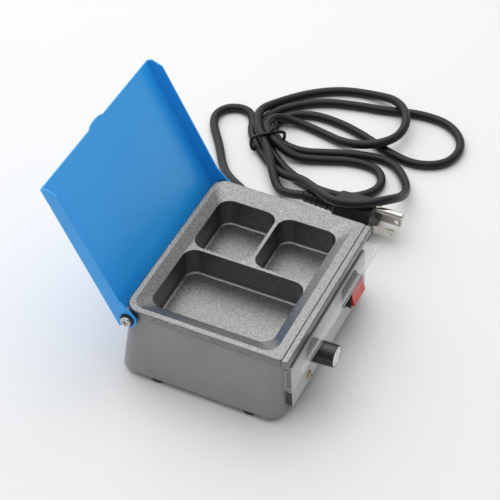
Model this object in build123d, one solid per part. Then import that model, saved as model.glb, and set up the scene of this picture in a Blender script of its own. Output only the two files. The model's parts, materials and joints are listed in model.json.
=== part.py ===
from build123d import *
import math
import os

os.makedirs("parts", exist_ok=True)

# Three-well dry heater. Millimetres, +Z up, front (controls) faces -Y.
# Origin: floor under the middle of the tray.

# --- overall -------------------------------------------------------------
TRAY_TOP = 56.0        # top face of the tray above the floor
TRAY_W, TRAY_D = 130.0, 105.0
TRAY_EDGE = 5.5        # height of the visible tray edge band
FOOT_H = 3.4
SHELL_TOP = TRAY_TOP - TRAY_EDGE
SHELL_BOTTOM = FOOT_H
WALL = 2.5

# --- shell: half widths and front/back faces at the top and the bottom ---
SHELL_X_TOP, SHELL_X_BOT = 64.5, 68.0
FRONT_TOP, FRONT_BOT = -50.8, -52.9
BACK_TOP, BACK_BOT = 52.0, 57.0
SHELL_R = 10.0

# --- wells ---------------------------------------------------------------
RIM_SIDE, RIM_FRONT, RIM_BACK = 3.8, 6.2, 3.6
SLOPE_X, SLOPE_Y, RECESS = 8.5, 6.8, 4.0
WELL_DEPTH = 19.5
LAND = 2.4
BIG_WELL_SPLIT = 3.7   # x of the divider between the big well and the two small ones
SMALL_WELL_SPLIT = 1.3 # y of the divider between the small wells
WELL_R = 8.5
FLOOR_T = 3.0
CAST_WALL = 2.6

# --- lid -----------------------------------------------------------------
LID_W = 135.4
LID_T = 1.0
HINGE_Y, HINGE_Z = 48.7, 49.0
LID_RISE = 8.9         # outer face of the lid above the hinge axis, lid shut
LID_REACH = 100.0      # hinge axis to the front edge of the lid
LID_BACK = 4.0         # how far the flat part runs on behind the hinge axis
LID_OPEN = 117.0
FLANGE_R = 6.2
FLANGE_DEPTH = 10.0

# --- front panel group, measured out from the shell front ----------------
PANEL_W = 113.0
PANEL_Z0, PANEL_Z1 = 9.0, 41.8
BACKING_T, PANEL_T = 3.5, 1.0
GUARD_W = 117.6
GUARD_T = 2.0
KNOB_X, KNOB_Z = -29.0, 33.3
KNOB_D, KNOB_L = 15.2, 16.4
SWITCH_X, SWITCH_Z = 29.5, 31.7

# --- cord ----------------------------------------------------------------
CORD_D = 6.2


def front_y(z):
    t = (z - SHELL_BOTTOM) / (SHELL_TOP - SHELL_BOTTOM)
    return FRONT_BOT + (FRONT_TOP - FRONT_BOT) * t


def back_y(z):
    t = (z - SHELL_BOTTOM) / (SHELL_TOP - SHELL_BOTTOM)
    return BACK_BOT + (BACK_TOP - BACK_BOT) * t


def side_x(z):
    t = (z - SHELL_BOTTOM) / (SHELL_TOP - SHELL_BOTTOM)
    return SHELL_X_BOT + (SHELL_X_TOP - SHELL_X_BOT) * t


FRONT_TILT = math.degrees(math.atan2(FRONT_TOP - FRONT_BOT, SHELL_TOP - SHELL_BOTTOM))


def front_plane(x, z):
    """Plane on the shell front: local x = +X, local y = up the face, local z = outward."""
    t = math.radians(FRONT_TILT)
    return Plane(origin=(x, front_y(z), z), x_dir=(1, 0, 0), z_dir=(0, -math.cos(t), math.sin(t)))


def save(shape, node):
    export_step(shape, "parts/" + node + ".step")


def box(x0, x1, y0, y1, z0, z1):
    size = (x1 - x0, y1 - y0, z1 - z0)
    mid = ((x0 + x1) / 2, (y0 + y1) / 2, (z0 + z1) / 2)
    return Pos(*mid) * Box(*size)


def rounded_block(x0, x1, y0, y1, z0, z1, radius):
    return fillet(box(x0, x1, y0, y1, z0, z1).edges().filter_by(Axis.Z), radius)


def rounded_rect(x0, x1, y0, y1, z, radius):
    face = Plane.XY.offset(z) * Pos((x0 + x1) / 2, (y0 + y1) / 2) * RectangleRounded(x1 - x0, y1 - y0, radius)
    return face


def rod(x, y, z0, z1, radius):
    return Pos(x, y, (z0 + z1) / 2) * Cylinder(radius, z1 - z0)


def many(solids):
    return Compound(children=list(solids))


def pan_screw(head_r, head_h, shank_r, shank_l):
    """Pan head screw: head on +Z, shank on -Z, cross recess in the head."""
    head = Pos(0, 0, head_h / 2) * Cylinder(head_r, head_h)
    head = fillet(head.edges().sort_by(Axis.Z)[-1], head_h * 0.45)
    slot = Box(head_r * 1.15, head_r * 0.26, head_h)
    head -= Pos(0, 0, head_h) * (slot + Rot(0, 0, 90) * slot)
    return head + Pos(0, 0, -shank_l / 2) * Cylinder(shank_r, shank_l)


# ------------------------------------------------------------------ shell
def shell_solid(inset, z0, z1):
    sections = []
    for z in (z0, z1):
        sections.append(rounded_rect(-side_x(z) + inset, side_x(z) - inset,
                                     front_y(z) + inset, back_y(z) - inset, z, SHELL_R - inset))
    return loft(Sketch() + sections, ruled=True)


GLAND_Y, GLAND_Z = 41.0, 19.0
GLAND_HOLE_R = 5.6
SWITCH_HOLE = (19.4, 13.0)
POT_HOLE_R = 4.0
HINGE_BOSS_R = 4.4
SCREW_POSTS = [(-54.0, -42.0), (54.0, -42.0), (-44.0, 46.2), (44.0, 46.2)]
FEET = [(-61.0, -31.5), (61.0, -31.5), (-61.0, 31.5), (61.0, 31.5)]
BASE_T = 1.5
BASE_Z = SHELL_BOTTOM + 0.9


def housing_shell():
    body = shell_solid(0, SHELL_BOTTOM, SHELL_TOP)
    body = fillet(body.edges().group_by(Axis.Z)[0], 1.2)
    body -= shell_solid(WALL, SHELL_BOTTOM, SHELL_TOP)
    body -= front_plane(SWITCH_X, SWITCH_Z) * Box(SWITCH_HOLE[0], SWITCH_HOLE[1], 12)
    body -= front_plane(KNOB_X, KNOB_Z) * Cylinder(POT_HOLE_R, 12)
    for x in PANEL_SCREW_X:
        body -= front_plane(x, PANEL_SCREW_Z) * Cylinder(1.3, 12)
    body -= Pos(side_x(GLAND_Z), GLAND_Y, GLAND_Z) * Rot(0, 90, 0) * Cylinder(GLAND_HOLE_R, 12)
    for side in (-1, 1):
        boss = x_rod(side * (HINGE_NUT_X + HINGE_NUT_T + 0.1), side * (SHELL_X_TOP + 0.5), HINGE_BOSS_R)
        body += boss & box(-80, 80, 0, 80, 0, SHELL_TOP)
        body -= x_rod(side * (HINGE_NUT_X - 0.4), side * (HINGE_NUT_X + HINGE_NUT_T + 0.1), HINGE_NUT_R + 0.15)
    return body - x_rod(-80, 80, HINGE_PIN_R + 0.05)


def base_plate():
    z0, z1 = BASE_Z, BASE_Z + BASE_T
    gap = WALL + 0.25
    plate = rounded_block(-side_x(z1) + gap, side_x(z1) - gap, front_y(z1) + gap, back_y(z1) - gap, z0, z1,
                          SHELL_R - gap)
    for x, y in FEET:
        plate -= rod(x, y, z0 - 1, z1 + 1, 1.6)
    for x, y in SCREW_POSTS:
        plate -= rod(x, y, z0 - 1, z1 + 1, 1.7)
    for i in range(7):
        plate -= rounded_block(-21 + i * 7 - 1.5, -21 + i * 7 + 1.5, 14, 34, z0 - 1, z1 + 1, 1.4)
    return plate


FOOT_R = 6.0
FOOT_TOP = BASE_Z


def rubber_feet():
    feet = []
    for x, y in FEET:
        pad_h = SHELL_BOTTOM - 0.1
        foot = Pos(x, y, pad_h / 2) * Cylinder(FOOT_R, pad_h)
        foot = fillet(foot.edges().sort_by(Axis.Z)[0], 0.8) + rod(x, y, 1, FOOT_TOP, 3.9)
        foot -= rod(x, y, -1, 1.9, 3.1)
        foot -= rod(x, y, 0, FOOT_TOP + 1, 1.5)
        feet.append(foot)
    return many(feet)


def foot_screws():
    screws = []
    for x, y in FEET:
        screws.append(Pos(x, y, 1.9) * Rot(180, 0, 0) * pan_screw(2.7, 1.3, 1.25, 6.0))
    return many(screws)


# ------------------------------------------------------------------- tray
WELL_X0 = -TRAY_W / 2 + RIM_SIDE + SLOPE_X
WELL_X1 = -WELL_X0
WELL_Y0 = -TRAY_D / 2 + RIM_FRONT + SLOPE_Y
WELL_Y1 = TRAY_D / 2 - RIM_BACK - SLOPE_Y
RECESS_Z = TRAY_TOP - RECESS
WELL_FLOOR_Z = RECESS_Z - WELL_DEPTH
CAST_BOTTOM = WELL_FLOOR_Z - FLOOR_T
WELLS = [
    (WELL_X0, BIG_WELL_SPLIT - LAND / 2, WELL_Y0, WELL_Y1),
    (BIG_WELL_SPLIT + LAND / 2, WELL_X1, SMALL_WELL_SPLIT + LAND / 2, WELL_Y1),
    (BIG_WELL_SPLIT + LAND / 2, WELL_X1, WELL_Y0, SMALL_WELL_SPLIT - LAND / 2),
]


def tray_outline(z0, z1):
    plate = box(-TRAY_W / 2, TRAY_W / 2, -TRAY_D / 2, TRAY_D / 2, z0, z1)
    corners = plate.edges().filter_by(Axis.Z).group_by(Axis.Y)
    plate = fillet(corners[0], 2.0)
    corners = plate.edges().filter_by(Axis.Z).group_by(Axis.Y)
    return fillet(corners[-1], 9.0)


def tray_casting():
    tray = tray_outline(SHELL_TOP, TRAY_TOP)
    tray = fillet(tray.edges().group_by(Axis.Z)[-1], 0.8)
    block = rounded_block(WELL_X0 - CAST_WALL, WELL_X1 + CAST_WALL, WELL_Y0 - CAST_WALL, WELL_Y1 + CAST_WALL,
                          CAST_BOTTOM, SHELL_TOP + 1, WELL_R + CAST_WALL)
    tray += block
    top = rounded_rect(-TRAY_W / 2 + RIM_SIDE, TRAY_W / 2 - RIM_SIDE,
                       -TRAY_D / 2 + RIM_FRONT, TRAY_D / 2 - RIM_BACK, TRAY_TOP, 8.0)
    low = rounded_rect(WELL_X0, WELL_X1, WELL_Y0, WELL_Y1, RECESS_Z, WELL_R)
    tray -= loft(Sketch() + [low, top], ruled=True)
    for x0, x1, y0, y1 in WELLS:
        well = rounded_block(x0, x1, y0, y1, WELL_FLOOR_Z, RECESS_Z + 0.5, WELL_R)
        well = fillet(well.edges().group_by(Axis.Z)[0], 1.8)
        tray -= well
    for x, y in SCREW_POSTS:
        tray += rod(x, y, POST_TOP, SHELL_TOP, 3.2) - rod(x, y, POST_TOP - 1, POST_TOP + 9, 1.35)
    for x, y in CLAMP_SCREWS:
        tray -= rod(x, y, CAST_BOTTOM - 1, CAST_BOTTOM + 2.0, CLAMP_HOLE_R)
    for side in (-1, 1):
        tray -= Pos(side * (HINGE_NUT_X + 1.2), HINGE_Y, SHELL_TOP) * Box(4.0, 7.4, 3.0)
    return tray


POST_TOP = 28.0


def tray_posts():
    return many(rod(x, y, BASE_Z + BASE_T, POST_TOP, 3.2) - rod(x, y, BASE_Z, POST_TOP + 1, 1.7)
                for x, y in SCREW_POSTS)


def post_screws():
    z_head = BASE_Z
    return many(Pos(x, y, z_head) * Rot(180, 0, 0) * pan_screw(2.8, 1.6, 1.25, POST_TOP - z_head + 7)
                for x, y in SCREW_POSTS)


RAIL_DEPTH = 4.0


def drip_rail():
    y1 = -TRAY_D / 2
    rail = box(-TRAY_W / 2, TRAY_W / 2, y1 - RAIL_DEPTH, y1, SHELL_TOP, TRAY_TOP - 0.4)
    outer = rail.edges().filter_by(Axis.Z).group_by(Axis.Y)[0]
    rail = fillet(outer, 1.6)
    return fillet(rail.edges().group_by(Axis.Z)[-1].group_by(Axis.Y)[0], 0.9)


# ------------------------------------------------------------ front panel
PANEL_SCREW_X = (-33.0, 33.0)
PANEL_SCREW_Z = 14.6
PANEL_MID_Z = (PANEL_Z0 + PANEL_Z1) / 2
PANEL_H = PANEL_Z1 - PANEL_Z0
FLANGE_H = 4.0         # clear guard flange clamped behind the backing


def on_panel(shape, x, z, out):
    """Put a shape (local z outward) on the front, `out` mm off the shell face."""
    return front_plane(x, z) * Pos(0, 0, out) * shape


def panel_slab(out, thickness, width, height, radius):
    slab = Box(width, height, thickness)
    slab = fillet(slab.edges().filter_by(Axis.Z), radius)
    return on_panel(slab, 0, PANEL_MID_Z, out + thickness / 2)


def panel_holes(slab):
    slab -= on_panel(Box(SWITCH_HOLE[0], SWITCH_HOLE[1], 20), SWITCH_X, SWITCH_Z, 0)
    slab -= on_panel(Cylinder(POT_HOLE_R, 20), KNOB_X, KNOB_Z, 0)
    for x in PANEL_SCREW_X:
        slab -= on_panel(Cylinder(1.7, 20), x, PANEL_SCREW_Z, 0)
    return slab


def panel_backing():
    slab = panel_holes(panel_slab(0, BACKING_T, PANEL_W, PANEL_H, 0.6))
    pocket = Box(PANEL_W + 2, FLANGE_H, 2 * 1.6)
    return slab - on_panel(pocket, 0, PANEL_Z1 - FLANGE_H / 2 + 0.01, 0)


def front_panel():
    slab = panel_holes(panel_slab(BACKING_T, PANEL_T, PANEL_W, PANEL_H, 0.6))
    rim = slab.faces().sort_by(Axis.Y)[0].outer_wire().edges()
    return chamfer(rim, 0.35)


def panel_screws():
    screw = pan_screw(2.8, 1.7, 1.2, 8.0)
    return many(on_panel(screw, x, PANEL_SCREW_Z, BACKING_T + PANEL_T) for x in PANEL_SCREW_X)


# clear drip guard: points are (outward, height above the floor)
GUARD_REACH = 12.4
GUARD_A = 44.0
GUARD_LIP_TOP = 46.2
GUARD_LIP_H = 4.0
GUARD_B = 23.0
GUARD_FOOT_Z = PANEL_Z1 - FLANGE_H + 0.7


def guard_section(points, width):
    wire = Polyline([(0, u, z) for u, z in points], close=True)
    face = make_face(wire)
    return extrude(face, amount=width / 2, dir=(1, 0, 0), both=True)


def guard_profile_to_world(shape):
    """Profiles are drawn with +Y = outward, +Z = up; tip them onto the shell front."""
    return Pos(0, front_y(0), 0) * Rot(-FRONT_TILT, 0, 0) * mirror(shape, Plane.XZ)


def drip_guard():
    slope = (GUARD_LIP_TOP - GUARD_A) / GUARD_REACH
    ledge = [(0, GUARD_A), (GUARD_REACH, GUARD_LIP_TOP), (GUARD_REACH, GUARD_LIP_TOP - GUARD_LIP_H),
             (GUARD_REACH - GUARD_T, GUARD_LIP_TOP - GUARD_LIP_H),
             (GUARD_REACH - GUARD_T, GUARD_LIP_TOP - GUARD_T * (1 + slope)),
             (1.5, GUARD_A - GUARD_T + 1.5 * slope), (1.5, GUARD_FOOT_Z), (0, GUARD_FOOT_Z)]
    body = guard_section(ledge, GUARD_W)
    cheek = [(0, GUARD_A), (GUARD_REACH, GUARD_LIP_TOP), (GUARD_REACH, GUARD_LIP_TOP - GUARD_LIP_H),
             (BACKING_T + PANEL_T, GUARD_B), (0, GUARD_B + 0.6)]
    cheeks = guard_section(cheek, GUARD_W) - guard_section([(-5, 0), (30, 0), (30, 60), (-5, 60)],
                                                           GUARD_W - 2 * GUARD_T)
    return guard_profile_to_world(body + cheeks)


# ----------------------------------------------------------- knob and pot
def on_knob(shape, out):
    return on_panel(shape, KNOB_X, KNOB_Z, out)


KNOB_GAP = 0.9
KNOB_START = BACKING_T + PANEL_T + KNOB_GAP
KNOB_CAP_T = 1.3
SHAFT_R = 3.0


def knob_body():
    r = KNOB_D / 2
    body = Pos(0, 0, KNOB_L / 2) * Cone(r, r - 0.5, KNOB_L)
    body = fillet(body.edges().sort_by(Axis.Z)[-1], 0.5)
    body -= Pos(0, 0, KNOB_L - KNOB_CAP_T + 5) * Cylinder(r - 1.1, 10)
    body -= Cylinder(r - 1.6, 2 * 4.0)
    body -= Pos(0, 0, 5) * Cylinder(SHAFT_R, 15.8)
    return on_knob(body, KNOB_START)


def knob_cap():
    r = KNOB_D / 2 - 1.15
    disc = Pos(0, 0, KNOB_CAP_T / 2) * Cylinder(r, KNOB_CAP_T)
    disc = fillet(disc.edges().sort_by(Axis.Z)[-1], 0.35)
    disc -= Pos(0, 0, KNOB_CAP_T) * Cylinder(r - 0.9, 0.5)
    disc -= Pos(0, r - 2.4, KNOB_CAP_T - 0.2) * Box(0.7, 3.6, 0.5)
    return on_knob(disc, KNOB_START + KNOB_L - KNOB_CAP_T)


def pot_shaft():
    z0, z1 = -WALL - POT_CAN_L + 1.2, KNOB_START + 12.8
    return on_knob(Pos(0, 0, (z0 + z1) / 2) * Cylinder(SHAFT_R, z1 - z0), 0)


POT_BUSH_R = 3.7
POT_BUSH_END = BACKING_T + PANEL_T + 2.2


POT_CAN_L = 5.8
POT_NUT_T = 1.6


def pot_body():
    back = WALL + 0.1
    can = Pos(0, 0, -back - POT_CAN_L / 2) * Cylinder(8.2, POT_CAN_L)
    bush = Pos(0, 0, (POT_BUSH_END - back) / 2) * Cylinder(POT_BUSH_R, POT_BUSH_END + back)
    body = can + bush
    for i in (-1, 0, 1):
        body += Pos(i * 5.0, -9.4, -back - POT_CAN_L / 2) * Box(1.6, 7.0, 0.8)
    body -= Pos(0, 0, 8) * Cylinder(SHAFT_R + 0.05, 2 * (8 + back + POT_CAN_L - 1.0))
    return on_knob(body, 0)


def pot_nut():
    nut = extrude(RegularPolygon(5.4, 6), POT_NUT_T) - Cylinder(POT_BUSH_R, 10)
    return on_knob(nut, BACKING_T + PANEL_T)


# ----------------------------------------------------------------- switch
def on_switch(shape, out):
    return on_panel(shape, SWITCH_X, SWITCH_Z, out)


SWITCH_DEPTH = 8.4
FRAME_W, FRAME_H = 19.2, 13.2
FRAME_OUT = 10.2
PADDLE_W, PADDLE_H = 16.6, 9.8
SWITCH_WELL_W, SWITCH_WELL_H = 17.2, 11.6
PIVOT_OUT = 7.4
PIVOT_R = 0.9


def switch_body():
    flange_out = BACKING_T + PANEL_T
    flange = Pos(0, 0, flange_out + 0.8) * fillet(Box(21.4, 15.2, 1.6).edges().filter_by(Axis.Z), 1.2)
    frame = Pos(0, 0, (flange_out + FRAME_OUT) / 2) * fillet(
        Box(FRAME_W, FRAME_H, FRAME_OUT - flange_out).edges().filter_by(Axis.Z), 0.8)
    can = Pos(0, 0, (flange_out - SWITCH_DEPTH) / 2) * Box(SWITCH_HOLE[0] - 0.3, SWITCH_HOLE[1] - 0.3,
                                                           flange_out + SWITCH_DEPTH)
    body = flange + frame + can
    body -= Pos(0, 0, FRAME_OUT - 4.0) * Box(SWITCH_WELL_W, SWITCH_WELL_H, 10.0)
    body -= Pos(0, 0, PIVOT_OUT) * Rot(0, 90, 0) * Cylinder(PIVOT_R + 0.05, FRAME_W - 0.6)
    return on_switch(body, 0)


def rocker():
    """Paddle with a rounded back, pivoting on an X axis; the lower half stands proud at rest."""
    r = PADDLE_H / 2
    outline = Polyline([(0, -r, 0), (0, -r, 5.2), (0, 0.6, 3.6), (0, r, 3.2), (0, r, 0)])
    back = ThreePointArc((0, r, 0), (0, 0, -r), (0, -r, 0))
    paddle = extrude(make_face(outline + back), amount=PADDLE_W / 2, dir=(1, 0, 0), both=True)
    paddle = fillet(paddle.edges().sort_by(Axis.Z)[-1], 0.5)
    paddle -= Rot(0, 90, 0) * Cylinder(PIVOT_R, PADDLE_W + 2)
    return on_switch(paddle, PIVOT_OUT)


def rocker_pins():
    pin = Rot(0, 90, 0) * Cylinder(PIVOT_R, FRAME_W - 0.8)
    return on_switch(pin, PIVOT_OUT)


def switch_tabs():
    tab = Box(4.8, 0.8, 7.0)
    return many(on_switch(Pos(i * 5.5, -4.6, -SWITCH_DEPTH - 3.5) * tab, 0) for i in (-1, 1))


# -------------------------------------------------------------------- lid
LID_FRONT_Y = HINGE_Y - LID_REACH
LID_PLATE_Z = HINGE_Z + LID_RISE
HINGE_PIN_R = 1.4
HINGE_NUT_X = 55.4
HINGE_NUT_R, HINGE_NUT_T = 2.7, 2.4
BUMP_W, BUMP_OUT = 16.0, 2.0


def lid_flange(x0, x1):
    """Side flange in the shut position: round about the hinge, tapering slightly to the front."""
    top = LID_PLATE_Z
    low_front = top - FLANGE_DEPTH + 0.5
    r = FLANGE_R
    disc = Pos((x0 + x1) / 2, HINGE_Y, HINGE_Z) * Rot(0, 90, 0) * Cylinder(r, x1 - x0)
    points = [(LID_FRONT_Y, top - LID_T), (LID_FRONT_Y, top - 4.0), (LID_FRONT_Y + 6.0, low_front),
              (HINGE_Y - 14.0, top - FLANGE_DEPTH - 0.6), (HINGE_Y - 3.0, HINGE_Z - r * 0.87),
              (HINGE_Y + r, HINGE_Z), (HINGE_Y + r * 0.6, HINGE_Z + r * 0.8), (HINGE_Y + LID_BACK, top - LID_T)]
    face = make_face(Polyline([(x0, y, z) for y, z in points], close=True))
    plate = extrude(face, amount=x1 - x0, dir=(1, 0, 0)) + disc
    return plate - Pos(0, HINGE_Y, HINGE_Z) * Rot(0, 90, 0) * Cylinder(HINGE_PIN_R + 0.06, 2 * LID_W)


def lid_panel():
    x = LID_W / 2
    plate = box(-x, x, LID_FRONT_Y, HINGE_Y + LID_BACK, LID_PLATE_Z - LID_T, LID_PLATE_Z)
    bump = Pos(0, LID_FRONT_Y, LID_PLATE_Z - LID_T / 2) * scale(Cylinder(1.0, LID_T), (BUMP_W / 2, BUMP_OUT, 1))
    lid = plate + bump + lid_flange(-x, -x + LID_T) + lid_flange(x - LID_T, x)
    long_edges = lid.edges().filter_by(Axis.Y).group_by(Axis.Z)[-1]
    lid = fillet(long_edges, 0.8)
    return lid.rotate(Axis((0, HINGE_Y, HINGE_Z), (1, 0, 0)), -LID_OPEN)


HINGE_SPACER = (SHELL_X_TOP + 0.62, LID_W / 2 - LID_T - 0.1)
HINGE_WASHER = (LID_W / 2 + 0.1, LID_W / 2 + 1.0)


def x_rod(x0, x1, radius):
    return Pos((x0 + x1) / 2, HINGE_Y, HINGE_Z) * Rot(0, 90, 0) * Cylinder(radius, abs(x1 - x0))


def both_sides(make):
    right = make()
    return many([right, mirror(right, Plane.YZ)])


def hinge_screws():
    head_x = HINGE_WASHER[1]
    screw = pan_screw(3.6, 2.2, HINGE_PIN_R, head_x - HINGE_NUT_X + 0.6)
    return both_sides(lambda: Pos(head_x, HINGE_Y, HINGE_Z) * Rot(0, 90, 0) * screw)


def hinge_washers():
    return both_sides(lambda: x_rod(*HINGE_WASHER, 4.6) - x_rod(*HINGE_WASHER, HINGE_PIN_R + 0.03))


def hinge_spacers():
    return both_sides(lambda: x_rod(*HINGE_SPACER, 4.4) - x_rod(*HINGE_SPACER, HINGE_PIN_R + 0.03))


def hinge_nuts():
    def nut():
        hexagon = extrude(RegularPolygon(HINGE_NUT_R, 6), HINGE_NUT_T) - Cylinder(HINGE_PIN_R, 10)
        return Pos(HINGE_NUT_X, HINGE_Y, HINGE_Z) * Rot(0, 90, 0) * Rot(0, 0, 30) * hexagon
    return both_sides(nut)


# ------------------------------------------------------- heating assembly
HEATER_T, CLAMP_T, PAD_T = 2.4, 1.5, 4.5
HEATER_X, HEATER_Y0, HEATER_Y1 = 48.0, -35.0, 38.0
CLAMP_HOLE_R = 1.52
CLAMP_SCREWS = [(-40.0, -28.0), (40.0, -28.0), (-40.0, 31.0), (40.0, 31.0)]
CUTOUT_XY = (-18.0, 4.0)


def stack_plate(z1, thickness, inset, hole_r, cutout=True):
    plate = rounded_block(-HEATER_X + inset, HEATER_X - inset, HEATER_Y0 + inset, HEATER_Y1 - inset,
                          z1 - thickness, z1, 5.0)
    for x, y in CLAMP_SCREWS:
        plate -= rod(x, y, z1 - thickness - 1, z1 + 1, hole_r)
    if cutout:
        plate -= rod(*CUTOUT_XY, z1 - thickness - 1, z1 + 1, 8.6)
    return plate


def heater_element():
    plate = stack_plate(CAST_BOTTOM, HEATER_T, 0, 2.0, cutout=False)
    for i in (-1, 1):
        plate += box(24 + i * 6 - 2, 24 + i * 6 + 2, HEATER_Y1 - 1, HEATER_Y1 + 7,
                     CAST_BOTTOM - 1.6, CAST_BOTTOM - 0.8)
    return plate


def clamp_plate():
    return stack_plate(CAST_BOTTOM - HEATER_T, CLAMP_T, 2.0, 1.8)


def insulation_pad():
    return stack_plate(CAST_BOTTOM - HEATER_T - CLAMP_T, PAD_T, 0.5, 4.2)


def clamp_screws():
    z = CAST_BOTTOM - HEATER_T - CLAMP_T
    screw = pan_screw(3.2, 1.8, 1.5, HEATER_T + CLAMP_T + 1.8)
    return many(Pos(x, y, z) * Rot(180, 0, 0) * screw for x, y in CLAMP_SCREWS)


def thermal_cutout():
    z = CAST_BOTTOM - HEATER_T
    x, y = CUTOUT_XY
    disc = rod(x, y, z - 5.0, z, 8.0) + rod(x, y, z - 9.5, z - 5.0, 6.6)
    for i in (-1, 1):
        disc += Pos(x, y + i * 8.5, z - 8.0) * Box(4.8, 7.0, 0.8)
    return disc


SENSOR_X, SENSOR_Y, SENSOR_Z = 28.0, WELL_Y1 + CAST_WALL + 2.1, 36.0


def sensor_probe():
    return Pos(SENSOR_X, SENSOR_Y, SENSOR_Z) * Rot(0, 90, 0) * fillet(Cylinder(2.0, 22.0).edges(), 0.6)


def sensor_clip():
    y0 = WELL_Y1 + CAST_WALL
    saddle = fillet(box(SENSOR_X - 4, SENSOR_X + 4, y0, y0 + 5.2, SENSOR_Z - 4, SENSOR_Z + 4).edges(), 0.5)
    return saddle - Pos(SENSOR_X, SENSOR_Y, SENSOR_Z) * Rot(0, 90, 0) * Cylinder(2.02, 20)


# ---------------------------------------------------------------- control
PCB = (-44.0, 12.0, -34.0, 8.0)
PCB_Z, PCB_T = 11.0, 1.6


def control_board():
    x0, x1, y0, y1 = PCB
    board = box(x0, x1, y0, y1, PCB_Z, PCB_Z + PCB_T)
    for x, y in pcb_corners():
        board -= rod(x, y, PCB_Z - 1, PCB_Z + PCB_T + 1, 1.6)
    return board


def pcb_corners():
    x0, x1, y0, y1 = PCB
    return [(x, y) for x in (x0 + 4, x1 - 4) for y in (y0 + 4, y1 - 4)]


def board_standoffs():
    z0 = BASE_Z + BASE_T
    return many(rod(x, y, z0, PCB_Z, 2.6) + rod(x, y, PCB_Z, PCB_Z + PCB_T + 1.4, 1.5) for x, y in pcb_corners())


def triac_and_sink():
    z = PCB_Z + PCB_T
    sink = box(-36, -12, -26, -24.4, z, z + 8.0)
    for i in range(5):
        sink += box(-35 + i * 5.5, -34 + i * 5.5, -24.5, -18.5, z, z + 8.0)
    chip = box(-29, -19, -30.4, -26, z, z + 7.6)
    return sink + chip


def board_parts():
    z = PCB_Z + PCB_T
    relay = box(-8, 6, -4.5, 5.5, z, z + 6.6)
    choke = rod(-30, -4, z, z + 6.5, 5.0)
    capacitor = box(-8, 7, -20, -13, z, z + 6.6)
    fuse = Pos(-24, -13, z + 3.0) * Rot(0, 90, 0) * Cylinder(2.5, 20)
    return many([relay, choke, capacitor, fuse])


TERMINAL = (20.0, 46.0, 26.0, 40.0)


def terminal_block():
    x0, x1, y0, y1 = TERMINAL
    z0 = BASE_Z + BASE_T
    block = box(x0, x1, y0, y1, z0, z0 + 9.0)
    for i in range(3):
        x = x0 + 4.6 + i * 8.4
        block -= rod(x, (y0 + y1) / 2 - 3.4, z0 + 4, z0 + 10, 1.9)
        block -= rod(x, (y0 + y1) / 2 + 3.4, z0 + 4, z0 + 10, 1.9)
        block -= Pos(x, (y0 + y1) / 2, z0 + 4.0) * Rot(90, 0, 0) * Cylinder(1.7, 20)
    return block


def earth_stud():
    z0 = BASE_Z + BASE_T
    stud = rod(50.0, 16.0, z0, z0 + 9.0, 2.0) + Pos(50.0, 16.0, z0) * extrude(RegularPolygon(4.2, 6), 2.6)
    return stud + Pos(50.0, 16.0, z0 + 4.4) * extrude(RegularPolygon(4.2, 6), 2.6)


WIRE_R = 1.1


def wire(points, radius):
    path = FilletPolyline(*points, radius=radius)
    start = Plane(origin=path @ 0, z_dir=path % 0)
    return sweep(start * Circle(WIRE_R), path=path)


def inner_wires():
    z0 = BASE_Z + BASE_T
    x0, x1, y0, y1 = TERMINAL
    mid = (y0 + y1) / 2
    lift = z0 + 4.0
    runs = [
        [(x0 + 4.6, y0 - 0.4, lift), (x0 + 4.6, y0 - 10, lift), (34.0, -14.0, lift), (35.0, -30.0, 11.0),
         (35.0, -37.6, 16.5), (35.0, -37.8, 24.0)],
        [(x0 + 13.0, y0 - 0.4, lift), (x0 + 13.0, y0 - 9, lift), (24.0, -4.0, 9.0), (18.0, -14.0, 16.4),
         (12.6, -24.0, 16.4)],
        [(24.0, -37.8, 24.0), (24.0, -37.6, 16.5), (23.0, -30.0, 10.5), (13.0, -29.0, 14.2)],
    ]
    return many(wire(points, 2.2) for points in runs)


# ------------------------------------------------------------- mains lead
GLAND_OUT = 9.0
PLUG_X, PLUG_FACE_Y, PLUG_AXIS_Z = 117.5, -38.7, 12.5
PLUG_L, PLUG_R = 28.0, 12.4
RELIEF_L = 23.0
LEAD_END_Y = PLUG_FACE_Y + PLUG_L + RELIEF_L
GLAND_END_X = side_x(GLAND_Z) + GLAND_OUT

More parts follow.
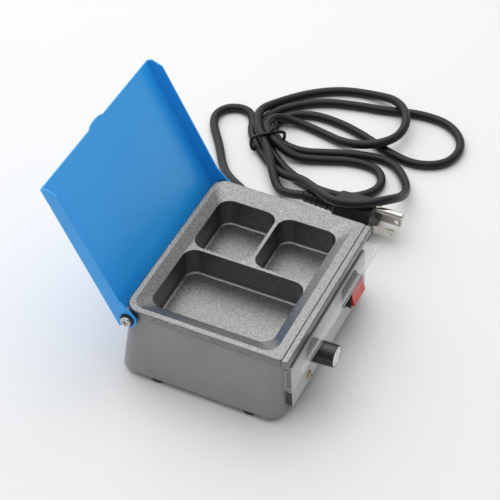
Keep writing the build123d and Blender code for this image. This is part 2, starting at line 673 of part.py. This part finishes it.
# centre line of the lead: out of the side bushing, down to the floor and round, then four
# lazy loops gathered by the tie, and into the plug; each point is a place on the centre line
LEAD_ROUTE = [
    (GLAND_END_X, GLAND_Y, GLAND_Z), (87, 41, 19), (101, 50, 15.8), (115, 67.5, 8.9), (130, 80.5, 3.6),
    (150, 92.5, 3.1), (169, 107, 3.1), (181.2, 110, 3.1), (191, 104, 3.1), (194, 92.8, 3.1), (188, 83.4, 3.1),
    # first pass through the tie, then up over the plug and round
    (171.5, 78, 3.3), (158.3, 66.6, 4.5), (146, 52, 3.4), (136, 37, 7), (130, 21, 14.5), (118, 6, 21.5),
    (106.5, -12, 25.2), (109, -32, 28.5), (122, -47, 27.9), (143, -50, 15), (166, -43, 5), (185, -26, 3.1),
    (183, -3, 3.1), (175, 18, 3.1), (167, 38, 3.1),
    # long outer loop
    (169, 56, 4.6), (183, 67, 3.1), (200, 63, 3.1), (209, 46, 3.1), (208, 24, 3.1), (202, 3, 3.1),
    (193, -18, 3.1), (188, -41, 3.1), (199, -61, 3.1), (222, -64, 3.1), (240, -48, 3.1), (242, -24, 3.1),
    (235, 0, 3.1), (231, 23, 3.1), (225, 45, 3.1), (211, 64, 3.1), (194, 76, 3.1), (177, 75, 3.1),
    # inner loop beside the plug
    (164, 62.5, 4.6), (150, 46, 3.1), (140, 28, 3.1), (135, 7, 3.1), (138, -15, 3.1), (156, -29, 3.1),
    (174, -20, 3.1), (174, 1, 3.1), (166, 20, 3.1), (158, 39, 4.5),
    # last loop, lying over the long outer one
    (163.6, 56.6, 10.4), (174, 69, 10.2), (189, 68, 9.3), (196, 53, 3.6), (193, 33, 3.1), (188, 13, 4),
    (188, -8, 9.7), (204, -22, 9.9), (226, -20, 9.9), (243, -6, 8.8), (248, 16, 3.1), (243, 38, 3.1),
    (230, 58, 3.1), (212, 74, 3.1), (191, 81, 8.8), (174, 75, 9.8), (161, 63.3, 10.4),
    # and down into the plug
    (149, 53.5, 9.8), (135.5, 45, 7.8), (123.6, 35.5, 4.4), (118.2, 24.5, 8.5), (PLUG_X, LEAD_END_Y, PLUG_AXIS_Z),
]


def bend_radii(route):
    radii = []
    for a, b, c in zip(route, route[1:], route[2:]):
        before, after = Vector(*b) - Vector(*a), Vector(*c) - Vector(*b)
        half_turn = math.radians(before.get_angle(after)) / 2
        radii.append(0.45 * min(before.length, after.length) / math.tan(half_turn))
    return radii


def cord_tube():
    radii = bend_radii(LEAD_ROUTE)
    path = FilletPolyline(*LEAD_ROUTE, radius=radii)
    start = Plane(origin=path @ 0, z_dir=path % 0)
    tube = sweep(start * Circle(CORD_D / 2), path=path, transition=Transition.RIGHT)
    section = math.pi * CORD_D ** 2 / 4
    print("cord radii", [round(r, 1) for r in sorted(radii)[:12]])
    print("cord length", round(path.length, 1), "volume / section / length",
          round(tube.volume / section / path.length, 4))
    return tube


def cord_gland():
    """Side bushing: flange outside, barrel through the wall, with a tapered nose on the lead."""
    barrel = Pos(0, 0, -3.0) * Cylinder(5.2, 12.0)
    flange = Pos(0, 0, 2.1) * Cylinder(8.0, 2.4)
    nose = Pos(0, 0, 3.3 + (GLAND_OUT - 3.3) / 2) * Cone(6.0, 4.6, GLAND_OUT - 3.3)
    body = barrel + flange + nose
    body -= Pos(0, 0, -5) * Cylinder(CORD_D / 2 + 0.05, 10)
    return Pos(side_x(GLAND_Z), GLAND_Y, GLAND_Z) * Rot(0, 90, 0) * body


def lead_core():
    """Stripped end of the lead inside the housing and two of its cores, run to the terminal block."""
    x0 = side_x(GLAND_Z) - 10.0
    jacket = Pos(x0, GLAND_Y, GLAND_Z) * Rot(0, 90, 0) * Cylinder(CORD_D / 2, 6.0)
    lift = BASE_Z + BASE_T + 4.0
    tx0, _, _, ty1 = TERMINAL
    near, far = tx0 + 21.4, tx0 + 13.0
    low = wire([(x0 - 3.0, GLAND_Y - 1.3, GLAND_Z), (50, ty1 + 1.7, lift), (near, ty1 + 1.7, lift),
                (near, ty1 + 0.3, lift)], 0.5)
    high = wire([(x0 - 3.0, GLAND_Y + 1.3, GLAND_Z), (50, ty1 + 1.7, lift + 4), (far, ty1 + 1.7, lift + 4),
                 (far, ty1 + 1.7, lift), (far, ty1 + 0.3, lift)], 0.5)
    return many([jacket, low, high])


TIE_XY = (164.6, 61.6)
TIE_TURN = 45.0        # direction of the gathered strands
TIE_SPAN = (-13.8, 14.0)
TIE_Z = (0.1, 15.5)
TIE_T, TIE_W = 0.8, 3.2


def cord_tie():
    """Flat band round the gathered strands with a twisted end standing off it."""
    q0, q1 = TIE_SPAN
    z0, z1 = TIE_Z
    outer = fillet(box(-TIE_W / 2, TIE_W / 2, q0, q1, z0, z1).edges().filter_by(Axis.X), 4.6)
    inner = fillet(box(-TIE_W, TIE_W, q0 + TIE_T, q1 - TIE_T, z0 + TIE_T, z1 - TIE_T).edges().filter_by(Axis.X), 3.7)
    tail = Pos(6.0, -3.0, z1 + 1.2) * Rot(0, 90, -18) * Cylinder(1.3, 15.0)
    knot = Pos(0, -3.0, z1 + 0.7) * Box(4.0, 4.6, 2.0)
    return Pos(*TIE_XY, 0) * Rot(0, 0, TIE_TURN) * (outer - inner + knot + tail)


BLADE_Z = 8.5
BLADE_SPACING = 12.7
PIN_UP = 11.9


def plug_body():
    """Moulded three-pin plug lying on its flat side, pins toward the front, ribbed relief behind."""
    r = PLUG_R
    face = make_face(Polyline([(-r, PLUG_AXIS_Z, 0), (-r, 0.1, 0), (r, 0.1, 0), (r, PLUG_AXIS_Z, 0)])
                     + ThreePointArc((r, PLUG_AXIS_Z, 0), (0, PLUG_AXIS_Z + r, 0), (-r, PLUG_AXIS_Z, 0)))
    face = fillet(face.vertices().group_by(Axis.Y)[0], 2.2)
    body = extrude(face, amount=PLUG_L, taper=3)
    body = fillet(body.edges().group_by(Axis.Z)[-1], 3.0)
    relief = Pos(0, PLUG_AXIS_Z, PLUG_L + RELIEF_L / 2) * Cone(5.4, 4.2, RELIEF_L)
    relief -= Pos(0, PLUG_AXIS_Z, PLUG_L + RELIEF_L) * Cylinder(CORD_D / 2 + 0.4, 2 * 1.4)
    for i in range(5):
        z = PLUG_L + 4.0 + i * 3.9
        relief -= Pos(0, PLUG_AXIS_Z, z) * (Cylinder(8.0, 1.5) - Cylinder(3.9, 1.5))
    body = body + relief
    return Pos(PLUG_X, PLUG_FACE_Y, 0) * Rot(90, 0, 0) * mirror(body, Plane.XY)


def plug_blades():
    blade = box(-0.75, 0.75, -17.0, 0, -3.175, 3.175)
    blade = chamfer(blade.edges().filter_by(Axis.X).group_by(Axis.Y)[0], 1.2)
    blade -= Pos(0, -13.4, 0) * Rot(0, 90, 0) * Cylinder(1.6, 4)
    return many(Pos(PLUG_X + i * BLADE_SPACING / 2, PLUG_FACE_Y, BLADE_Z) * blade for i in (-1, 1))


def ground_pin():
    length = 20.5
    pin = Pos(0, -length / 2, 0) * Rot(90, 0, 0) * Cylinder(2.4, length)
    pin = fillet(pin.edges().sort_by(Axis.Y)[0], 1.6)
    return Pos(PLUG_X, PLUG_FACE_Y, BLADE_Z + PIN_UP) * pin


for make in (
    housing_shell, base_plate, rubber_feet, foot_screws, tray_casting, tray_posts, post_screws, drip_rail,
    panel_backing, front_panel, panel_screws, drip_guard, knob_body, knob_cap, pot_shaft, pot_body, pot_nut,
    switch_body, rocker, rocker_pins, switch_tabs, lid_panel, hinge_screws, hinge_washers, hinge_spacers,
    hinge_nuts, heater_element, clamp_plate, insulation_pad, clamp_screws, thermal_cutout, sensor_probe,
    sensor_clip, control_board, board_standoffs, triac_and_sink, board_parts, terminal_block, earth_stud,
    inner_wires, cord_gland, lead_core, cord_tube, cord_tie, plug_body, plug_blades, ground_pin,
):
    save(make(), make.__name__)
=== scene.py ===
import json
import math

import bpy
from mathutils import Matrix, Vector

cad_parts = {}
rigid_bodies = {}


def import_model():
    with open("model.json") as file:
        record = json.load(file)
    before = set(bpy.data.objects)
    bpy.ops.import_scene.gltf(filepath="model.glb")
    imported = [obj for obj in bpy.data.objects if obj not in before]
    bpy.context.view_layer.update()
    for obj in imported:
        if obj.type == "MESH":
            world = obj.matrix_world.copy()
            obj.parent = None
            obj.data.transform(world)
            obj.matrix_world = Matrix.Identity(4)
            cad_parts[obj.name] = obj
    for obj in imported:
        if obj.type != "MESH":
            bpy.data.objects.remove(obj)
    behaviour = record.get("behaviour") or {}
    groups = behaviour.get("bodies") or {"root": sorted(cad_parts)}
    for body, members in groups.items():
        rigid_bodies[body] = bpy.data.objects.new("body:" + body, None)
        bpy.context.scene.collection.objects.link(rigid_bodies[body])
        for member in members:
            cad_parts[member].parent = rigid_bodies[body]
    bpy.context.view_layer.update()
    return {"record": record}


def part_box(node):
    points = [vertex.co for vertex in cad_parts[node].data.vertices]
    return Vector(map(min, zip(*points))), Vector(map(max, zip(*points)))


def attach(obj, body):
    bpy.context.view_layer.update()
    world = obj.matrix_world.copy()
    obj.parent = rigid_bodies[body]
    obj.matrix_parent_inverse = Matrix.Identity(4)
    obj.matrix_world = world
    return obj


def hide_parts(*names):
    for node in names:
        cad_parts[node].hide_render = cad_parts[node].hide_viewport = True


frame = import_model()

# ------------------------------------------------------------------ helpers

def link(obj):
    bpy.context.scene.collection.objects.link(obj)
    return obj


def curve_piece(name, points, radius, spline="NURBS", taper=None):
    """A round tube along points (metres); taper gives a radius factor per point."""
    data = bpy.data.curves.new(name, "CURVE")
    data.dimensions = "3D"
    data.bevel_depth = radius
    data.bevel_resolution = 8
    data.resolution_u = 8
    data.use_fill_caps = True
    line = data.splines.new(spline)
    line.points.add(len(points) - 1)
    for i, (point, place) in enumerate(zip(line.points, points)):
        point.co = (*place, 1.0)
        point.radius = taper[i] if taper else 1.0
    if spline == "NURBS":
        line.order_u = 3
        line.use_endpoint_u = True
    return link(bpy.data.objects.new(name, data))


# ---------------------------------------------------------------- materials
class Paint:
    """A node material: a Principled shader with small helpers for procedural detail."""

    def __init__(self, name, color, rough, metal=0.0, **sockets):
        self.mat = bpy.data.materials.new(name)
        self.mat.use_nodes = True
        self.nodes = self.mat.node_tree.nodes
        self.links = self.mat.node_tree.links
        self.bsdf = self.nodes["Principled BSDF"]
        self.bsdf.inputs["Base Color"].default_value = (*color, 1)
        self.bsdf.inputs["Roughness"].default_value = rough
        self.bsdf.inputs["Metallic"].default_value = metal
        for socket, value in sockets.items():
            self.bsdf.inputs[socket.replace("_", " ")].default_value = value
        self.coords = self.nodes.new("ShaderNodeTexCoord").outputs["Object"]
        self.normal = None

    def node(self, kind, **values):
        made = self.nodes.new(kind)
        for key, value in values.items():
            if key in made.inputs:
                made.inputs[key].default_value = value
            else:
                setattr(made, key, value)
        return made

    def noise(self, scale, detail=3.0, roughness=0.5):
        made = self.node("ShaderNodeTexNoise", Scale=scale, Detail=detail, Roughness=roughness)
        self.links.new(self.coords, made.inputs["Vector"])
        return made.outputs["Fac"]

    def cells(self, scale):
        made = self.node("ShaderNodeTexVoronoi", Scale=scale)
        self.links.new(self.coords, made.inputs["Vector"])
        return made.outputs["Color"]

    def spread(self, source, low, high, low_to=0.0, high_to=1.0):
        made = self.node("ShaderNodeMapRange")
        for socket, value in zip(("From Min", "From Max", "To Min", "To Max"), (low, high, low_to, high_to)):
            made.inputs[socket].default_value = value
        self.links.new(source, made.inputs["Value"])
        return made.outputs["Result"]

    def tint(self, factor, first, second):
        made = self.node("ShaderNodeMix", data_type="RGBA")
        self.links.new(factor, made.inputs["Factor"])
        made.inputs["A"].default_value = (*first, 1)
        made.inputs["B"].default_value = (*second, 1)
        self.links.new(made.outputs["Result"], self.bsdf.inputs["Base Color"])
        return self

    def rough(self, source, low, high, low_to, high_to):
        self.links.new(self.spread(source, low, high, low_to, high_to), self.bsdf.inputs["Roughness"])
        return self

    def soften(self, radius):
        made = self.node("ShaderNodeBevel", samples=4)
        made.inputs["Radius"].default_value = radius
        self.normal = made.outputs["Normal"]
        self.links.new(self.normal, self.bsdf.inputs["Normal"])
        return self

    def bump(self, source, strength, distance):
        made = self.node("ShaderNodeBump", Strength=strength, Distance=distance)
        self.links.new(source, made.inputs["Height"])
        if self.normal:
            self.links.new(self.normal, made.inputs["Normal"])
        self.normal = made.outputs["Normal"]
        self.links.new(self.normal, self.bsdf.inputs["Normal"])
        return self


def enamel():
    paint = Paint("grey_enamel", (0.27, 0.27, 0.27), 0.42, 0.2, Coat_Weight=0.25, Coat_Roughness=0.3)
    fine = paint.noise(2600, 2.0)
    paint.tint(paint.spread(paint.noise(35), 0.35, 0.65), (0.255, 0.257, 0.26), (0.285, 0.287, 0.29))
    return paint.soften(0.0006).rough(fine, 0.3, 0.7, 0.38, 0.48).bump(fine, 0.10, 0.0001).mat


def sparkle():
    paint = Paint("sparkle_coat", (0.36, 0.36, 0.35), 0.34, 1.0)
    flakes = paint.cells(3300)
    fine = paint.spread(flakes, 0.25, 0.85)
    paint.tint(fine, (0.13, 0.13, 0.128), (0.37, 0.37, 0.36))
    return paint.soften(0.0007).rough(flakes, 0.1, 0.9, 0.30, 0.42).bump(fine, 0.14, 0.0001).mat


def lid_blue():
    paint = Paint("blue_lid", (0.022, 0.40, 1.0), 0.36, 0.0, Coat_Weight=0.3, Coat_Roughness=0.2)
    wash = paint.spread(paint.noise(14, 2.0), 0.35, 0.65)
    paint.tint(wash, (0.016, 0.39, 0.98), (0.026, 0.42, 1.0))
    fine = paint.noise(1800, 2.0)
    return paint.soften(0.0005).rough(fine, 0.3, 0.7, 0.32, 0.40).bump(fine, 0.05, 0.00008).mat


def moulding(name, color, rough, grain=1500, depth=0.12, soft=0.0003, **sockets):
    paint = Paint(name, color, rough, 0.0, **sockets)
    fine = paint.noise(grain, 3.0)
    dark = tuple(c * 0.92 for c in color)
    light = tuple(min(1.0, c * 1.08) for c in color)
    paint.tint(paint.spread(fine, 0.35, 0.65), dark, light)
    paint.soften(soft).rough(fine, 0.3, 0.7, rough * 0.9, min(1.0, rough * 1.15))
    return paint.bump(fine, depth, 0.0001).mat


def metal(name, color, rough, grain=900, depth=0.08, soft=0.0002):
    paint = Paint(name, color, rough, 1.0)
    fine = paint.noise(grain, 4.0)
    dark = tuple(c * 0.88 for c in color)
    paint.tint(paint.spread(fine, 0.35, 0.65), dark, color)
    return paint.soften(soft).rough(fine, 0.3, 0.7, rough * 0.8, rough * 1.3).bump(fine, depth, 0.00006).mat


def clear():
    """Clear sheet: faint body; its edges turn opaque near-white as a painted highlight for their glow (edges
    found by comparing rounded and true normals).
    """
    paint = Paint("clear_acrylic", (0.92, 0.93, 0.94), 0.05, 0.0, Coat_Weight=1.0, Coat_Roughness=0.02)
    haze = paint.noise(60, 3.0)
    paint.tint(haze, (0.90, 0.91, 0.92), (0.95, 0.96, 0.97))
    paint.soften(0.0009).rough(haze, 0.35, 0.7, 0.03, 0.08)
    painted_edge_highlight_dot = paint.node("ShaderNodeVectorMath", operation="DOT_PRODUCT")
    paint.links.new(paint.normal, painted_edge_highlight_dot.inputs[0])
    paint.links.new(paint.node("ShaderNodeNewGeometry").outputs["Normal"], painted_edge_highlight_dot.inputs[1])
    # painted highlight: alpha rises to opaque near-white where the rounded normal leaves the true normal, on
    # the sheet's edges
    paint.links.new(paint.spread(painted_edge_highlight_dot.outputs["Value"], 0.85, 0.9995, 1.0, 0.13), paint.bsdf.inputs["Alpha"])
    return paint.mat


def lens():
    paint = Paint("red_lens", (0.62, 0.02, 0.015), 0.14, 0.0, Coat_Weight=0.2)
    fine = paint.noise(700, 2.0)
    paint.tint(paint.spread(fine, 0.35, 0.65), (0.58, 0.022, 0.015), (0.68, 0.035, 0.025))
    return paint.soften(0.0004).rough(fine, 0.3, 0.7, 0.10, 0.18).mat


def cord_jacket():
    paint = Paint("black_cord", (0.006, 0.007, 0.008), 0.36, 0.0, Specular_IOR_Level=0.3)
    fine = paint.noise(900, 4.0)
    paint.tint(paint.spread(fine, 0.35, 0.65), (0.005, 0.006, 0.007), (0.011, 0.012, 0.013))
    return paint.rough(fine, 0.3, 0.7, 0.30, 0.42).bump(fine, 0.10, 0.0001).mat


MATERIALS = {
    "grey_enamel": enamel(),
    "sparkle_coat": sparkle(),
    "blue_lid": lid_blue(),
    "panel_grey": moulding("panel_grey", (0.55, 0.55, 0.56), 0.34, depth=0.05),
    # backing_grey: near-black spacer behind the panel; its darkness is painted shade standing in for the
    # shadowed gap round the panel
    "backing_grey": moulding("backing_grey", (0.07, 0.07, 0.075), 0.45),
    "clear_acrylic": clear(),
    "black_gloss": moulding("black_gloss", (0.004, 0.004, 0.005), 0.22, grain=400, depth=0.03),
    "silver_cap": metal("silver_cap", (0.78, 0.78, 0.77), 0.24),
    "red_lens": lens(),
    "black_rubber": moulding("black_rubber", (0.014, 0.014, 0.014), 0.62, depth=0.2),
    "black_cord": cord_jacket(),
    "bright_steel": metal("bright_steel", (0.62, 0.62, 0.61), 0.30),
    "yellow_zinc": metal("yellow_zinc", (0.62, 0.53, 0.36), 0.30),
    "nickel": metal("nickel", (0.72, 0.69, 0.63), 0.22),
    "mica": moulding("mica", (0.28, 0.20, 0.12), 0.55),
    "wool": moulding("wool", (0.72, 0.72, 0.68), 0.95, grain=420, depth=0.8),
    "board_green": moulding("board_green", (0.015, 0.11, 0.045), 0.35),
    "part_white": moulding("part_white", (0.72, 0.71, 0.66), 0.42),
    "sink_alu": metal("sink_alu", (0.70, 0.70, 0.71), 0.34),
    "brass_part": metal("brass_part", (0.66, 0.47, 0.20), 0.28),
    "wire_red": moulding("wire_red", (0.32, 0.02, 0.015), 0.45),
}


def give(obj, slot):
    obj.data.materials.clear()
    obj.data.materials.append(MATERIALS[slot])
    return obj


for part in frame["record"]["subparts"]:
    give(bpy.data.objects[part["node"]], part["material_slot"])

# --------------------------------------------------------------- mains lead
CORD_D = 0.0062
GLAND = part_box("cord_gland")
GLAND_Y = (GLAND[0][1] + GLAND[1][1]) / 2
GLAND_Z = (GLAND[0][2] + GLAND[1][2]) / 2
GLAND_END = (GLAND[1][0], GLAND_Y, GLAND_Z)
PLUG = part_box("plug_body")
PLUG_X = (PLUG[0][0] + PLUG[1][0]) / 2
PLUG_BACK = PLUG[1][1]
ROUTE = [
    GLAND_END, (0.087, 0.041, 0.019), (0.101, 0.05, 0.0158), (0.115, 0.0675, 0.0089),
    (0.13, 0.0805, 0.0036), (0.15, 0.0925, 0.0031), (0.169, 0.107, 0.0031), (0.1812, 0.11, 0.0031),
    (0.191, 0.104, 0.0031), (0.194, 0.0928, 0.0031), (0.188, 0.0834, 0.0031),
    # first pass through the tie, then up over the plug and round
    (0.1715, 0.078, 0.0033), (0.1583, 0.0666, 0.0045), (0.146, 0.052, 0.0034), (0.136, 0.037, 0.007),
    (0.13, 0.021, 0.0145), (0.118, 0.006, 0.0215), (0.1065, -0.012, 0.0252), (0.109, -0.032, 0.0285),
    (0.122, -0.047, 0.0279), (0.143, -0.05, 0.015), (0.166, -0.043, 0.005), (0.185, -0.026, 0.0031),
    (0.183, -0.003, 0.0031), (0.175, 0.018, 0.0031), (0.167, 0.038, 0.0031),
    # long outer loop
    (0.169, 0.056, 0.0046), (0.183, 0.067, 0.0031), (0.2, 0.063, 0.0031), (0.209, 0.046, 0.0031),
    (0.208, 0.024, 0.0031), (0.202, 0.003, 0.0031), (0.193, -0.018, 0.0031), (0.188, -0.041, 0.0031),
    (0.199, -0.061, 0.0031), (0.222, -0.064, 0.0031), (0.24, -0.048, 0.0031), (0.242, -0.024, 0.0031),
    (0.235, 0.0, 0.0031), (0.231, 0.023, 0.0031), (0.225, 0.045, 0.0031), (0.211, 0.064, 0.0031),
    (0.194, 0.076, 0.0031), (0.177, 0.075, 0.0031),
    # inner loop beside the plug
    (0.164, 0.0625, 0.0046), (0.15, 0.046, 0.0031), (0.14, 0.028, 0.0031), (0.135, 0.007, 0.0031),
    (0.138, -0.015, 0.0031), (0.156, -0.029, 0.0031), (0.174, -0.02, 0.0031), (0.174, 0.001, 0.0031),
    (0.166, 0.02, 0.0031), (0.158, 0.039, 0.0045),
    # last loop, lying over the long outer one
    (0.1636, 0.0566, 0.0104), (0.174, 0.069, 0.0102), (0.189, 0.068, 0.0093), (0.196, 0.053, 0.0036),
    (0.193, 0.033, 0.0031), (0.188, 0.013, 0.004), (0.188, -0.008, 0.0097), (0.204, -0.022, 0.0099),
    (0.226, -0.02, 0.0099), (0.243, -0.006, 0.0088), (0.248, 0.016, 0.0031), (0.243, 0.038, 0.0031),
    (0.23, 0.058, 0.0031), (0.212, 0.074, 0.0031), (0.191, 0.081, 0.0088), (0.174, 0.075, 0.0098),
    (0.161, 0.0633, 0.0104),
    # and down into the plug
    (0.149, 0.0535, 0.0098), (0.1355, 0.045, 0.0078), (0.1236, 0.0355, 0.0044), (0.1182, 0.0245, 0.0085),
    (PLUG_X, PLUG_BACK, 0.0125),
]

lead = give(curve_piece("lead", ROUTE, CORD_D / 2), "black_cord")
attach(lead, "base")
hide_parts("cord_tube")


def lead_start(length, steps=40):
    """Points on the lead's own curve from the bushing outward, as far as `length`."""
    p0, p1, p2, p3 = (Vector(p) for p in ROUTE[:4])
    points = []
    for a, b, c in ((p0, p1, (p1 + p2) / 2), ((p1 + p2) / 2, p2, (p2 + p3) / 2)):
        for k in range(steps):
            t = k / steps
            points.append(a * (1 - t) ** 2 + b * (2 * t * (1 - t)) + c * t * t)
    run, kept = 0.0, [points[0]]
    for before, after in zip(points, points[1:]):
        run += (after - before).length
        if run > length:
            break
        kept.append(after)
    return kept


def ribbed_sleeve(name, length, r0, r1, ribs):
    """Bend relief moulded on the lead: tapers away from the housing, with shallow ribs."""
    points = lead_start(length)
    last = len(points) - 1
    radii = [(r0 + (r1 - r0) * i / last) * (0.94 + 0.06 * math.cos(2 * math.pi * ribs * i / last))
             for i in range(last + 1)]
    return curve_piece(name, points, 1.0, spline="POLY", taper=radii)


SLEEVE_L, SLEEVE_R0, SLEEVE_R1, SLEEVE_RIBS = 0.028, 0.0049, 0.0036, 6
sleeve = ribbed_sleeve("gland_sleeve", SLEEVE_L, SLEEVE_R0, SLEEVE_R1, SLEEVE_RIBS)
give(sleeve, "black_rubber")
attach(sleeve, "base")


TIE_CENTRE = Vector((0.1646, 0.0616, 0))
TIE_TURN = math.radians(45)
TIE_BAND_R, TIE_TAIL_R = 0.00115, 0.00095


def tie():
    """Twisted tie: a band round the strands and two twisted tails."""
    centre = TIE_CENTRE
    along = Vector((math.cos(TIE_TURN), math.sin(TIE_TURN), 0))
    across = Vector((-along.y, along.x, 0))
    q0, q1, z0, z1 = -0.0125, 0.0128, 0.0012, 0.0140
    ring = []
    for k in range(25):
        angle = 2 * math.pi * k / 24
        c, s = math.cos(angle), math.sin(angle)
        q = (q0 + q1) / 2 + (q1 - q0) / 2 * math.copysign(abs(c) ** 0.6, c)
        z = (z0 + z1) / 2 + (z1 - z0) / 2 * math.copysign(abs(s) ** 0.6, s)
        ring.append(centre + across * q + Vector((0, 0, z)) + along * (0.0008 * math.sin(2 * angle)))
    pieces = [curve_piece("tie_band", ring, TIE_BAND_R)]
    root = centre + across * -0.003 + Vector((0, 0, z1))
    for phase in (0.0, math.pi):
        twist = []
        for k in range(22):
            f = k / 21
            angle = phase + f * 4.5 * math.pi
            r = 0.0010 if f < 0.8 else 0.0010 + 0.0022 * (f - 0.8) / 0.2
            core = root + along * (0.0085 * f) + across * (-0.0050 * f) + Vector((0, 0, 0.0012 - 0.0010 * f))
            twist.append(core + across * (r * math.cos(angle)) + Vector((0, 0, r * math.sin(angle))))
        pieces.append(curve_piece("tie_tail_%d" % len(pieces), twist, TIE_TAIL_R))
    for piece in pieces:
        give(piece, "black_cord")
        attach(piece, "base")
    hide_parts("cord_tie")
    return pieces


TIE = tie()


# -------------------------------------------------------------------- stage
FLOOR_HALF = 4.0
CAMERA_PLACE = (-0.7461, -0.3517, 0.8606)
CAMERA_AIM = (0.6530, 0.3064, -0.6927)
CAMERA_LENS = 134.2
BRIGHT_SIDE = (0.50, 0.62, 0.60)
LIGHT_AIM = (0.05, 0.0, 0.0)


def backdrop():
    mesh = bpy.data.meshes.new("floor")
    corners = [(x * FLOOR_HALF, y * FLOOR_HALF, 0) for x, y in ((-1, -1), (1, -1), (1, 1), (-1, 1))]
    mesh.from_pydata(corners, [], [(0, 1, 2, 3)])
    floor = link(bpy.data.objects.new("floor", mesh))
    paint = Paint("floor_white", (0.80, 0.80, 0.80), 0.75)
    floor.data.materials.append(paint.mat)


def softbox(name, place, aim, size, power):
    data = bpy.data.lights.new(name, "AREA")
    data.shape = "RECTANGLE"
    data.size, data.size_y = size
    data.energy = power
    lamp = link(bpy.data.objects.new(name, data))
    lamp.location = place
    lamp.rotation_euler = (Vector(aim) - Vector(place)).to_track_quat("-Z", "Y").to_euler()


def studio():
    world = bpy.data.worlds.new("studio")
    world.use_nodes = True
    nodes, links = world.node_tree.nodes, world.node_tree.links
    facing = nodes.new("ShaderNodeVectorMath")
    facing.operation = "DOT_PRODUCT"
    facing.inputs[1].default_value = BRIGHT_SIDE
    level = nodes.new("ShaderNodeMapRange")
    for socket, value in zip(("From Min", "From Max", "To Min", "To Max"), (-0.35, 0.85, 0.26, 0.92)):
        level.inputs[socket].default_value = value
    links.new(nodes.new("ShaderNodeTexCoord").outputs["Generated"], facing.inputs[0])
    links.new(facing.outputs["Value"], level.inputs["Value"])
    links.new(level.outputs["Result"], nodes["Background"].inputs["Strength"])
    nodes["Background"].inputs["Color"].default_value = (1, 1, 1, 1)
    bpy.context.scene.world = world
    softbox("key", (0.62, 0.70, 1.10), LIGHT_AIM, (1.7, 1.7), 9.0)
    softbox("top", (0.1, 0.1, 1.5), LIGHT_AIM, (1.6, 1.6), 7.0)
    bpy.context.scene.view_settings.view_transform = "Standard"


def camera():
    data = bpy.data.cameras.new("view")
    data.lens = CAMERA_LENS
    data.sensor_width = 36
    data.clip_start = 0.01
    eye = link(bpy.data.objects.new("view", data))
    eye.location = CAMERA_PLACE
    eye.rotation_euler = Vector(CAMERA_AIM).to_track_quat("-Z", "Y").to_euler()
    bpy.context.scene.camera = eye


backdrop()
studio()
camera()
